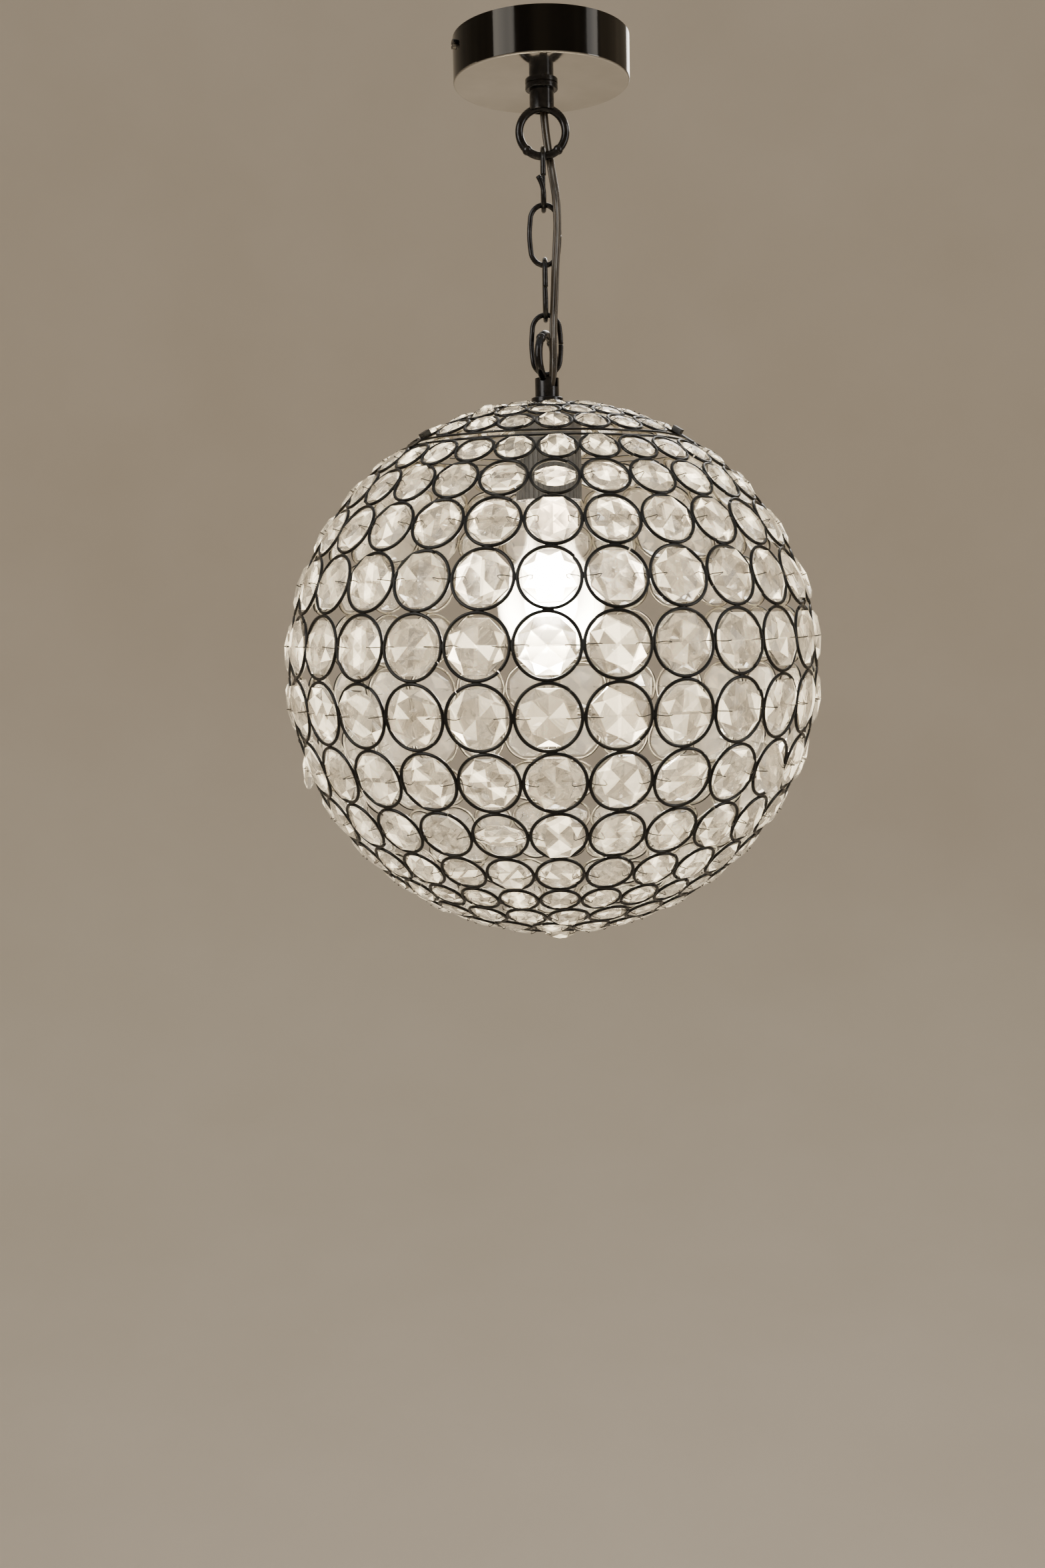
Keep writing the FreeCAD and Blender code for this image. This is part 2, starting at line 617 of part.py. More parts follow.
def bulb_outline(inset, neck_high):
    """Half of the bulb's outline, from its pole up to its neck, moved in by inset."""
    ball = BULB_D / 2 - inset
    centre_z = BULB_TIP_Z - BULB_L + BULB_D / 2
    lean = math.radians(BULB_LEAN)
    neck_r = BULB_CAP_D / 2 + BULB_NECK_FIT - inset
    touch = V(ball * math.cos(lean), 0, centre_z + ball * math.sin(lean))
    run = (touch.x - neck_r) / math.sin(lean)
    corner = V(neck_r, 0, touch.z + run * math.cos(lean))
    arc_low = corner + V(math.sin(lean), 0, -math.cos(lean)) * BULB_NECK_BACK
    arc_high = corner + V(0, 0, BULB_NECK_BACK)
    bend = BULB_NECK_BACK / math.tan(lean / 2)
    mid = arc_high + V(bend * (1 - math.cos(lean / 2)), 0, -bend * math.sin(lean / 2))
    low_lean = lean - math.pi / 3
    side = V(ball * math.cos(low_lean), 0, centre_z + ball * math.sin(low_lean))
    pole = V(0, 0, centre_z - ball)
    neck_top = V(neck_r, 0, neck_high)
    edges = [Part.Arc(pole, side, touch).toShape(),
             Part.LineSegment(touch, arc_low).toShape(),
             Part.Arc(arc_low, mid, arc_high).toShape(),
             Part.LineSegment(arc_high, neck_top).toShape()]
    return edges, pole, neck_top


def build_holder():
    cap_low = HOLDER_Z - HOLDER_CAP_H
    shell_low = cap_low - HOLDER_SHELL_H
    core_high = cap_low + CORE_UP
    core_low = cap_low - CORE_DOWN
    sleeve_high = core_low - GAP
    sleeve_low = sleeve_high - SLEEVE_H
    sleeve_r = BULB_CAP_D / 2 + SLEEVE_FIT

    cap = rod(HOLDER_D / 2, cap_low, HOLDER_Z)
    cap = cap.makeFillet(HOLDER_CAP_EDGE, [e for e in cap.Edges if e.BoundBox.ZMin > HOLDER_Z - GAP])
    cap = cap.cut(rod(HOLDER_D / 2 - HOLDER_WALL, cap_low - 1, HOLDER_Z - HOLDER_CAP_ROOF))
    save("holder_cap", cap.cut(rod(THREAD_D / 2 + THREAD_FIT, cap_low, HOLDER_Z + 1)))
    save("holder_shell", make_ribbed_shell(shell_low, cap_low - GAP))
    core = rod(HOLDER_D / 2 - CORE_INSET, core_low, core_high)
    save("holder_core", core.cut(rod(CORE_HOLE_R, core_low - 1, core_high + 1, 0, CORE_HOLE_Y)))
    sleeve = rod(sleeve_r + SLEEVE_WALL, sleeve_low, sleeve_high)
    save("screw_sleeve", sleeve.cut(rod(sleeve_r, sleeve_low - 1, sleeve_high + 1)))
    save("centre_contact", rod(CONTACT_R, BULB_TIP_Z + GAP, sleeve_high))
    save("lamp_nipple", hollow_nipple(HOLDER_Z - LAMP_NIPPLE_DOWN, GLOBE_TOP + NIPPLE_IN_LOOP))
    save("lamp_locknut", lock_nut(GLOBE_TOP - PLATE_T - 3 * GAP - NUT_H))
    return shell_low


def build_bulb(mouth):
    """The bulb, whose screw cap ends at the lampholder's mouth."""
    screw_high = BULB_TIP_Z - BULB_TIP_H
    screw_low = mouth - BULB_NECK_FIT
    neck_high = mouth + BULB_NECK_IN
    save("bulb_tip", Part.makeCone(BULB_TIP_FOOT_R, BULB_TIP_R, BULB_TIP_H, V(0, 0, screw_high)))
    ridge_r = BULB_CAP_D / 2 - BULB_CAP_WALL
    screw = rod(BULB_CAP_D / 2 - BULB_CAP_WALL + GAP, screw_low, screw_high - GAP)
    threads = []
    for k in range(CAP_THREADS):
        height = screw_high - CAP_THREAD_START - CAP_THREAD_PITCH * k
        threads.append(Part.makeTorus(ridge_r, CAP_THREAD_R, V(0, 0, height)))
    hollow = rod(BULB_CAP_BORE / 2, screw_low - 1, screw_high - BULB_CAP_WALL)
    neck_room = rod(BULB_CAP_D / 2 + BULB_NECK_FIT + GAP, screw_low - 1, neck_high + 2 * GAP)
    save("bulb_screw_cap", screw.multiFuse(threads).cut(hollow).cut(neck_room))

    outer, outer_pole, outer_top = bulb_outline(0.0, neck_high)
    inner, inner_pole, inner_top = bulb_outline(BULB_GLASS, neck_high)
    pairs = ((outer_pole, inner_pole), (outer_top, inner_top))
    ends = [Part.LineSegment(*pair).toShape() for pair in pairs]
    save("bulb_glass", turned(Part.__sortEdges__(outer + inner + ends)))


def main():
    os.makedirs("parts", exist_ok=True)
    build_ceiling_fitting()
    build_suspension()
    build_globe()
    build_bulb(build_holder())
    print(f"globe centre {GLOBE_Z:.2f}, top {GLOBE_TOP:.2f}, bottom {GLOBE_Z - GLOBE_R:.2f}")
    pivots = [UPPER_RING_Z - (RING_D - RING_WIRE_D) / 2]
    pivots += [LINK_TOP - k * LINK_PITCH - LINK_L + LINK_WIRE / 2 for k in range(LINKS)]
    print("pivots", [round(z, 3) for z in pivots])


main()
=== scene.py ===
"""Looks for the crystal-globe pendant lamp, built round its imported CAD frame.

Metres, +Z up, the front faces -Y. The origin is the centre of the ceiling cup's rim."""

import json
import math
import random

import bpy
from mathutils import Matrix, Vector


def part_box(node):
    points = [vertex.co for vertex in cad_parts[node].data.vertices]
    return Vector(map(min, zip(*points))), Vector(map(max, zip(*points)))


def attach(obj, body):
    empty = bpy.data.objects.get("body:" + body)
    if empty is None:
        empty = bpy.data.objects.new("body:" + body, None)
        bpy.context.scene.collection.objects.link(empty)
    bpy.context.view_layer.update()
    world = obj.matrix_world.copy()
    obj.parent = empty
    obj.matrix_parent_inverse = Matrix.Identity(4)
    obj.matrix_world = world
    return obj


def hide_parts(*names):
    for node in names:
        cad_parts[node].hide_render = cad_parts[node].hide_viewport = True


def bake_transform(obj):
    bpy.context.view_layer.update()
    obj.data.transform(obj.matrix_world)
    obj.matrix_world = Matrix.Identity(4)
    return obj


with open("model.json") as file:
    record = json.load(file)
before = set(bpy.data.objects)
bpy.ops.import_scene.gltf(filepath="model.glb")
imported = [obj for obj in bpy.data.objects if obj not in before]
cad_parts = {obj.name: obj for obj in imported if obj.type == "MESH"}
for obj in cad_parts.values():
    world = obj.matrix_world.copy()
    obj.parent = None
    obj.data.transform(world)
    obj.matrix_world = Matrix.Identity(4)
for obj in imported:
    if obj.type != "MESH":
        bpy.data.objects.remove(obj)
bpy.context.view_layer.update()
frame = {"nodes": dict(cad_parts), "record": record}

MM = 0.001

# ---- the globe's layout, as the part has it ----
GLOBE_R = 150 * MM
BULB_R = 30 * MM
WIRE_D = 1.4 * MM
RING_GAP = 0.05 * MM            # between two rings of a row, for the solder
COLUMNS = 27
MAIN_TURNS = (-2.1, -1.4, -0.4, 0.4, 1.7)           # each row's turn, from the equator up, degrees
LOWER_TURNS = (-2.1, -1.0, -0.4, -0.1, 0.0)         # and from the equator down
BOTTOM_ROWS = ((21, 3.5), (16, -4.0), (10, 2.0))    # rings in the row and its turn
CAP_ROWS = ((22, 1.5), (18, -3.0), (12, 4.0))
CAP_START = 58.3                # latitude of the cap's lower edge, degrees
BEAD_FILL = 0.83                # the part's crystal width, as a share of its ring's inside
BEAD_GIRDLE = 0.07              # half its girdle, as a share of half its width
SHOULDER_UP = 0.62              # where its crown breaks, from the girdle to the top
BEAD_HOLE_OUT = 0.66            # where the part's crystal is drilled, as a share of half its width
HOOK_WIRE_D = 0.5 * MM


def middle(node):
    low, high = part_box(node)
    return (low + high) / 2


GLOBE_Z = (middle("globe_ring_row_05").z + middle("globe_ring_row_06").z) / 2


# ---- meshes ----

class Build:
    """Collects vertices and faces, then makes one piece."""

    def __init__(self):
        self.points = []
        self.faces = []

    def add(self, points, faces):
        first = len(self.points)
        self.points += [tuple(p) for p in points]
        self.faces += [tuple(first + i for i in face) for face in faces]

    def piece(self, name, body, look, nodes=(), smooth=True):
        mesh = bpy.data.meshes.new(name)
        mesh.from_pydata(self.points, [], self.faces)
        if smooth:
            mesh.shade_smooth()
        mesh.materials.append(look)
        made = bpy.data.objects.new(name, mesh)
        bpy.context.collection.objects.link(made)
        if body:
            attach(made, body)
        if nodes:
            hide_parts(*nodes)
        return made


def lathe_faces(rings, sides, closed=False):
    """Faces that join rings of points, each of sides points."""
    faces = []
    for r in range(rings if closed else rings - 1):
        here, there = r * sides, (r + 1) % rings * sides
        for s in range(sides):
            after = (s + 1) % sides
            faces.append((here + s, here + after, there + after, there + s))
    return faces


def end_faces(rings, sides):
    """The first and last ring of a tube, as faces that look outwards."""
    return [tuple(range(sides))[::-1], tuple(range((rings - 1) * sides, rings * sides))]


def wire(build, points, radius, sides, closed=False):
    """A round wire along points, which the builder collects."""
    count = len(points)
    rings = []
    across = None
    for i, p in enumerate(points):
        before = points[i - 1] if closed or i else points[0]
        after = points[(i + 1) % count] if closed or i < count - 1 else points[-1]
        way = (after - before).normalized()
        if across is None:
            across = way.orthogonal().normalized()
        across = (across - way * across.dot(way)).normalized()
        up = way.cross(across)
        for s in range(sides):
            turn = 2 * math.pi * s / sides
            rings.append(p + (across * math.cos(turn) + up * math.sin(turn)) * radius)
    faces = lathe_faces(count, sides, closed)
    if not closed:
        faces += end_faces(count, sides)
    build.add(rings, faces)


# ---- materials ----

BULB_GLOW = 450.0
BULB_LIT, BULB_DIM = 14 * MM, 48 * MM       # from the bulb's foot: fully lit up to here, and dim above there
CRYSTAL_PAINTED_GLOW = 3.8                          # painted glow of the crystals, standing in for the bulb's light through them: at the equator, on the facets that look out
INWARD_SHARE = 0.12                         # of that glow, on the facets that look in
NEAR_GLOW, FAR_GLOW = 1.3, 0.65             # shares of it beside the bulb and at the globe's foot


class Look:
    """A material whose Principled shader takes its inputs from procedural nodes."""

    def __init__(self, name, **values):
        self.material = bpy.data.materials.new(name)
        self.material.use_nodes = True
        self.tree = self.material.node_tree
        self.shader = self.tree.nodes["Principled BSDF"]
        coordinates = self.tree.nodes.new("ShaderNodeTexCoord")
        self.place = coordinates.outputs["Object"]
        self.facing = coordinates.outputs["Normal"]
        for key, value in values.items():
            self.shader.inputs[key.replace("_", " ")].default_value = value

    def stretched(self, scale):
        node = self.tree.nodes.new("ShaderNodeMapping")
        node.inputs["Scale"].default_value = scale
        self.tree.links.new(self.place, node.inputs["Vector"])
        return node.outputs["Vector"]

    def noise(self, scale, detail=3.0, roughness=0.5, place=None, distortion=0.0):
        node = self.tree.nodes.new("ShaderNodeTexNoise")
        node.inputs["Scale"].default_value = scale
        node.inputs["Detail"].default_value = detail
        node.inputs["Roughness"].default_value = roughness
        node.inputs["Distortion"].default_value = distortion
        self.tree.links.new(place or self.place, node.inputs["Vector"])
        return node.outputs["Fac"]

    def ramp(self, factor, *stops):
        node = self.tree.nodes.new("ShaderNodeValToRGB")
        ends = node.color_ramp.elements
        for k, (spot, colour) in enumerate(stops):
            end = ends[k] if k < 2 else ends.new(spot)
            end.position = spot
            value = colour if isinstance(colour, tuple) else (colour, colour, colour)
            end.color = (*value, 1.0)
        self.tree.links.new(factor, node.inputs["Fac"])
        return node.outputs["Color"]

    def mix(self, factor, one, other):
        node = self.tree.nodes.new("ShaderNodeMix")
        node.data_type = "RGBA"
        self.tree.links.new(factor, node.inputs["Factor"])
        self.tree.links.new(one, node.inputs["A"])
        self.tree.links.new(other, node.inputs["B"])
        return node.outputs["Result"]

    def faces_out(self):
        """From 0 where a surface looks at the globe's middle, to 1 where it looks away from it."""
        nodes, links = self.tree.nodes, self.tree.links
        spoke = nodes.new("ShaderNodeVectorMath")
        spoke.operation = "SUBTRACT"
        links.new(self.place, spoke.inputs[0])
        spoke.inputs[1].default_value = (0, 0, GLOBE_Z)
        unit = nodes.new("ShaderNodeVectorMath")
        unit.operation = "NORMALIZE"
        links.new(spoke.outputs["Vector"], unit.inputs[0])
        dot = nodes.new("ShaderNodeVectorMath")
        dot.operation = "DOT_PRODUCT"
        links.new(unit.outputs["Vector"], dot.inputs[0])
        links.new(self.facing, dot.inputs[1])
        span = nodes.new("ShaderNodeMapRange")
        span.inputs["From Min"].default_value = -1
        links.new(dot.outputs["Value"], span.inputs["Value"])
        return span.outputs["Result"]

    def near_bulb(self):
        """A factor on the crystals' painted glow: above 1 beside the bulb and below 1 at the globe's foot,
        as the bulb's light thins out.
        """
        nodes, links = self.tree.nodes, self.tree.links
        gap = nodes.new("ShaderNodeVectorMath")
        gap.operation = "DISTANCE"
        links.new(self.place, gap.inputs[0])
        gap.inputs[1].default_value = (0, 0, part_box("bulb_glass")[0].z + BULB_R)
        span = nodes.new("ShaderNodeMapRange")
        span.inputs["From Min"].default_value = GLOBE_R * 0.8
        span.inputs["From Max"].default_value = GLOBE_R * 1.2
        span.inputs["To Min"].default_value = NEAR_GLOW
        span.inputs["To Max"].default_value = FAR_GLOW
        links.new(gap.outputs["Value"], span.inputs["Value"])
        return span.outputs["Result"]

    def times(self, socket, factor):
        """A socket's value times a number or another socket."""
        node = self.tree.nodes.new("ShaderNodeMath")
        node.operation = "MULTIPLY"
        self.tree.links.new(socket, node.inputs[0])
        if isinstance(factor, float):
            node.inputs[1].default_value = factor
        else:
            self.tree.links.new(factor, node.inputs[1])
        return node.outputs["Value"]

    def drive(self, name, socket):
        self.tree.links.new(socket, self.shader.inputs[name])

    def bump(self, height, strength, distance=0.0002):
        node = self.tree.nodes.new("ShaderNodeBump")
        node.inputs["Strength"].default_value = strength
        node.inputs["Distance"].default_value = distance
        self.tree.links.new(height, node.inputs["Height"])
        old = self.shader.inputs["Normal"]
        if old.is_linked:
            self.tree.links.new(old.links[0].from_socket, node.inputs["Normal"])
        self.drive("Normal", node.outputs["Normal"])

    def lets_lamps_through(self, share):
        """Glass that lets lamps through: shadow rays pass it, tinted by share."""
        nodes, links = self.tree.nodes, self.tree.links
        path = nodes.new("ShaderNodeLightPath")
        clear = nodes.new("ShaderNodeBsdfTransparent")
        clear.inputs["Color"].default_value = (share, share, share, 1)
        mixed = nodes.new("ShaderNodeMixShader")
        links.new(path.outputs["Is Shadow Ray"], mixed.inputs["Fac"])
        links.new(self.shader.outputs["BSDF"], mixed.inputs[1])
        links.new(clear.outputs["BSDF"], mixed.inputs[2])
        links.new(mixed.outputs["Shader"], nodes["Material Output"].inputs["Surface"])


def chrome_look():
    """Polished plate with painted reflections: its side wall painted dark in upright streaks, as if it
    mirrored a dark room, and its underside painted bright, partly its own colour and partly a painted
    reflection of the lit lamp.
    """
    look = Look("chrome", Metallic=1.0, Specular_IOR_Level=0.5)
    # painted reflection: dark upright streaks on the side wall, as if it mirrored a dark room
    painted_reflection_streaks = look.noise(34, 3, 0.55, look.stretched((1, 1, 0.02)))
    wall = look.ramp(painted_reflection_streaks, (0.38, (0.018, 0.0175, 0.017)), (0.68, (0.10, 0.094, 0.085)),
                     (0.55, (0.036, 0.034, 0.031)))
    # the underside's bright colour: partly the plate's own, partly a painted reflection of the lit lamp
    underside_plate_and_reflection = look.ramp(look.noise(14, 4, 0.6), (0.35, (0.72, 0.70, 0.665)), (0.7, (0.92, 0.905, 0.875)))
    split = look.tree.nodes.new("ShaderNodeSeparateXYZ")
    look.tree.links.new(look.facing, split.inputs["Vector"])
    lift = look.tree.nodes.new("ShaderNodeMapRange")
    lift.inputs["From Min"].default_value = -1
    look.tree.links.new(split.outputs["Z"], lift.inputs["Value"])
    # which painted reflection a surface gets goes by the way it faces: dark on the upright wall, bright
    # underneath
    is_wall = look.ramp(lift.outputs["Result"], (0.05, 0.0), (0.40, 1.0))
    look.drive("Base Color", look.mix(is_wall, underside_plate_and_reflection, wall))
    smear = look.noise(60, 5, 0.65, look.stretched((1, 1, 0.25)), 0.6)
    look.drive("Roughness", look.ramp(smear, (0.35, 0.045), (0.75, 0.15)))
    look.bump(look.noise(420, 2), 0.05, 0.0001)
    look.bump(look.noise(22, 2), 0.12, 0.0004)
    return look.material


def black_nickel_look():
    look = Look("black_nickel", Metallic=1.0, Coat_Weight=0.35, Coat_Roughness=0.12)
    worn = look.noise(160, 5, 0.65)
    look.drive("Base Color", look.ramp(worn, (0.4, (0.016, 0.016, 0.018)), (0.62, (0.040, 0.040, 0.043)),
                                       (0.78, (0.12, 0.12, 0.115))))
    look.drive("Roughness", look.ramp(look.noise(90, 4), (0.3, 0.16), (0.7, 0.36)))
    look.bump(look.noise(240, 4, 0.6), 0.25, 0.0002)
    return look.material


def black_wire_look(name, lumps):
    look = Look(name, Metallic=0.55, Coat_Weight=0.25, Coat_Roughness=0.2)
    tone = look.noise(220, 5, 0.6)
    black = look.ramp(tone, (0.35, (0.004, 0.004, 0.004)), (0.65, (0.010, 0.010, 0.009)),
                      (0.8, (0.035, 0.033, 0.028)))
    # painted light: faces that look at the globe's middle take a pale colour, as if lit by the bulb inside;
    # faces that look out stay black
    painted_bulb_light = look.ramp(tone, (0.35, (0.30, 0.27, 0.21)), (0.7, (0.52, 0.48, 0.40)))
    look.drive("Base Color", look.mix(look.ramp(look.faces_out(), (0.12, 0.0), (0.34, 1.0)), painted_bulb_light, black))
    look.drive("Roughness", look.ramp(look.noise(400, 3), (0.3, 0.24), (0.7, 0.48)))
    look.bump(look.noise(700, 4, 0.6), lumps, 0.0002)
    return look.material


def crystal_look():
    """Clear crystal whose facets glow with painted bulb light, each by its own amount: the emission stands
    in for the bulb's light through the crystal.
    """
    look = Look("crystal", IOR=1.40, Alpha=0.80)
    tint = look.noise(38, 2)
    look.drive("Base Color", look.ramp(tint, (0.3, (0.97, 0.91, 0.80)), (0.7, (1.0, 0.975, 0.92))))
    look.drive("Transmission Weight", look.ramp(look.faces_out(), (0.25, 0.80), (0.55, 0.97)))
    look.drive("Roughness", look.ramp(look.noise(30, 1), (0.3, 0.0), (0.7, 0.05)))
    # painted light: the facets, by the way each faces, glow from near black to warm white, as if the bulb's
    # light came through them
    painted_glow_by_facet = look.noise(4.2, 1, 0.5, look.facing)
    look.drive("Emission Color", look.ramp(painted_glow_by_facet, (0.46, (0.008, 0.006, 0.004)), (0.66, (1.0, 0.85, 0.58)),
                                           (0.57, (0.13, 0.107, 0.070))))
    # the painted glow is strong on facets that look out, weak on those that look in, and fades away from the
    # bulb
    outward = look.ramp(look.faces_out(), (0.46, CRYSTAL_PAINTED_GLOW * INWARD_SHARE), (0.60, CRYSTAL_PAINTED_GLOW))
    look.drive("Emission Strength", look.times(outward, look.near_bulb()))
    look.lets_lamps_through(0.9)
    return look.material


def bulb_look():
    """A lit bulb: brightest where it faces the eye, and soft at its rim, as glare makes it."""
    look = Look("bulb_glass", Roughness=0.25)
    height = look.tree.nodes.new("ShaderNodeSeparateXYZ")
    look.tree.links.new(look.place, height.inputs["Vector"])
    low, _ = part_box("bulb_glass")
    span = look.tree.nodes.new("ShaderNodeMapRange")
    span.inputs["From Min"].default_value = low.z + BULB_LIT
    span.inputs["From Max"].default_value = low.z + BULB_DIM
    look.tree.links.new(height.outputs["Z"], span.inputs["Value"])
    look.drive("Emission Color", look.ramp(span.outputs["Result"], (0.0, (1.0, 0.90, 0.74)),
                                           (1.0, (0.035, 0.028, 0.020))))
    tint = look.noise(30, 2)
    look.drive("Base Color", look.ramp(tint, (0.3, (0.90, 0.88, 0.83)), (0.7, (0.98, 0.97, 0.94))))
    rim = look.tree.nodes.new("ShaderNodeLayerWeight")
    rim.inputs["Blend"].default_value = 0.5
    turned_away = rim.outputs["Facing"]
    falloff = look.ramp(turned_away, (0.0, 1.0), (1.0, 0.0), (0.06, 0.4), (0.134, 0.035),
                        (0.286, 0.018), (0.4, 0.006), (0.56, 0.0015))
    look.drive("Emission Strength", look.times(falloff, BULB_GLOW))
    look.drive("Alpha", look.ramp(turned_away, (0.12, 1.0), (0.95, 0.02), (0.29, 0.6), (0.42, 0.3)))
    look.bump(look.noise(500, 2), 0.04)
    return look.material


def plastic_look(name, dark, light, rough, grain=900, lumps=0.12):
    look = Look(name, Specular_IOR_Level=0.5)
    look.drive("Base Color", look.ramp(look.noise(120, 4), (0.35, dark), (0.7, light)))
    look.drive("Roughness", look.ramp(look.noise(300, 3), (0.3, rough - 0.06), (0.7, rough + 0.08)))
    look.bump(look.noise(grain, 2), lumps, 0.0001)
    return look.material


def metal_look(name, dark, light, rough, brushed=(1, 1, 8)):
    look = Look(name, Metallic=1.0)
    look.drive("Base Color", look.ramp(look.noise(90, 4), (0.35, dark), (0.7, light)))
    grain = look.noise(260, 4, 0.6, look.stretched(brushed))
    look.drive("Roughness", look.ramp(grain, (0.3, rough - 0.06), (0.7, rough + 0.1)))
    look.bump(grain, 0.15, 0.0001)
    return look.material


def flex_look():
    look = Look("flex_sheath", Coat_Weight=0.45, Coat_Roughness=0.08, Transmission_Weight=0.15, IOR=1.5)
    strands = look.tree.nodes.new("ShaderNodeTexWave")
    strands.inputs["Scale"].default_value = 190
    strands.inputs["Distortion"].default_value = 3.5
    strands.inputs["Detail"].default_value = 2
    look.tree.links.new(look.stretched((0.7, 0.7, 1.0)), strands.inputs["Vector"])
    copper = look.ramp(strands.outputs["Fac"], (0.25, (0.050, 0.037, 0.023)), (0.8, (0.115, 0.085, 0.053)))
    grey = look.ramp(look.noise(70, 3), (0.3, (0.042, 0.037, 0.029)), (0.7, (0.088, 0.077, 0.060)))
    look.drive("Base Color", look.mix(look.noise(25, 2), copper, grey))
    look.drive("Roughness", look.ramp(look.noise(200, 3), (0.3, 0.24), (0.7, 0.42)))
    look.bump(strands.outputs["Fac"], 0.12, 0.0001)
    return look.material


chrome = chrome_look()
black_nickel = black_nickel_look()
black_wire = black_wire_look("black_wire", 0.15)
solder = black_wire_look("solder", 0.9)
hook_wire = metal_look("hook_wire", (0.045, 0.042, 0.038), (0.12, 0.11, 0.095), 0.3)
crystal = crystal_look()
bulb_glass = bulb_look()
zinc = metal_look("zinc_steel", (0.42, 0.42, 0.41), (0.62, 0.62, 0.60), 0.3)
brass = metal_look("brass", (0.50, 0.36, 0.14), (0.72, 0.55, 0.27), 0.3)
bulb_metal = metal_look("bulb_metal", (0.55, 0.54, 0.52), (0.78, 0.77, 0.75), 0.28, (1, 1, 4))
holder_plastic = plastic_look("holder_plastic", (0.105, 0.108, 0.112), (0.16, 0.163, 0.168), 0.34)
holder_white = plastic_look("holder_white", (0.70, 0.69, 0.65), (0.82, 0.81, 0.78), 0.5)
block_plastic = plastic_look("block_plastic", (0.66, 0.65, 0.61), (0.78, 0.77, 0.72), 0.45)
tip_insulator = plastic_look("tip_insulator", (0.012, 0.012, 0.012), (0.03, 0.03, 0.03), 0.25)
flex_sheath = flex_look()

# ---- camera: level with the globe's upper half, looking a little down ----
CAMERA_PLACE = (-0.0185, -0.861, GLOBE_Z + 0.0323)
CAMERA_DOWN = 6.49              # degrees
CAMERA_ROLL = 1.2
CAMERA_LENS = 34.29             # millimetres, on a sensor 36 wide

camera_data = bpy.data.cameras.new("camera")
camera_data.lens = CAMERA_LENS
camera_data.sensor_width = 36.0
camera = bpy.data.objects.new("camera", camera_data)
bpy.context.collection.objects.link(camera)
pitch = Matrix.Rotation(math.radians(90 - CAMERA_DOWN), 4, "X")
roll = Matrix.Rotation(math.radians(-CAMERA_ROLL), 4, "Z")
camera.matrix_world = Matrix.Translation(CAMERA_PLACE) @ pitch @ roll
bpy.context.scene.camera = camera

# ---- the flex: two cores side by side, in five lengths, each spanning one pivot ----
FLEX_ROUTE = (
    (0.0, 0.0, -13.0), (0.2, 1.0, -23.5), (0.9, 4.15, -34.8), (1.9, 4.4, -48.0), (3.8, 4.3, -61.5),
    (5.3, 1.0, -73.0), (6.8, -3.2, -84.0), (7.4, -3.7, -97.5), (6.7, -3.4, -110.5), (5.7, -3.8, -123.5),
    (5.1, -3.5, -136.5), (4.3, -3.9, -149.5), (3.9, -3.7, -161.0), (3.8, -4.1, -171.5), (3.4, -4.1, -182.0),
    (1.3, -1.5, -191.5), (0.2, -0.3, -201.0), (0.3, 0.2, -211.0))
FLEX_CUTS = (-70 * MM, -101 * MM, -132 * MM, -163 * MM)
CORE_D = 2.25 * MM
CORE_SIDES = 10
CORE_ARC = 316                          # of each core's round that shows, degrees
TURN_START, TURN_RUN = -170 * MM, 20 * MM       # where the cores turn to enter the lower neck
TURN_BY = 40                            # and how far, degrees


def flex_line():
    curve = bpy.data.curves.new("flex_route", "CURVE")
    curve.dimensions = "3D"
    curve.resolution_u = 10
    spline = curve.splines.new("NURBS")
    spline.points.add(len(FLEX_ROUTE) - 1)
    for point, spot in zip(spline.points, FLEX_ROUTE):
        point.co = (*(c * MM for c in spot), 1)
    spline.order_u = 3
    spline.use_endpoint_u = True
    helper = bpy.data.objects.new("flex_route", curve)
    mesh = bpy.data.meshes.new_from_object(helper)
    points = [v.co.copy() for v in mesh.vertices]
    bpy.data.objects.remove(helper)
    return points


def flex_width_way(z):
    """Which way the two cores lie side by side: along X, then turned to enter the lower neck."""
    share = min(max((TURN_START - z) / TURN_RUN, 0), 1)
    turn = math.radians(TURN_BY) * share * share * (3 - 2 * share)
    return Vector((math.cos(turn), math.sin(turn), 0))


def flex_section(point, way):
    """Points round the figure of eight that two touching cores make."""
    side = flex_width_way(point.z)
    side = (side - way * side.dot(way)).normalized()
    out = way.cross(side)
    spots = []
    for lobe in (1, -1):
        for s in range(CORE_SIDES):
            turn = math.radians(CORE_ARC * (s / (CORE_SIDES - 1) - 0.5)) + (0 if lobe > 0 else math.pi)
            x = lobe * CORE_D / 2 + CORE_D / 2 * math.cos(turn)
            spots.append(point + side * x + out * (CORE_D / 2 * math.sin(turn)))
    return spots


def flex_run(line, high, low):
    """The line's points between two heights, with new end points on the heights themselves."""
    inside = [i for i, p in enumerate(line) if low <= p.z <= high]
    run = line[max(inside[0] - 1, 0):min(inside[-1] + 2, len(line))]
    for end, near, cut in ((0, 1, high), (-1, -2, low)):
        if (run[end].z - cut) * (run[near].z - cut) < 0:
            share = (cut - run[end].z) / (run[near].z - run[end].z)
            run[end] = run[end].lerp(run[near], share)
    return run


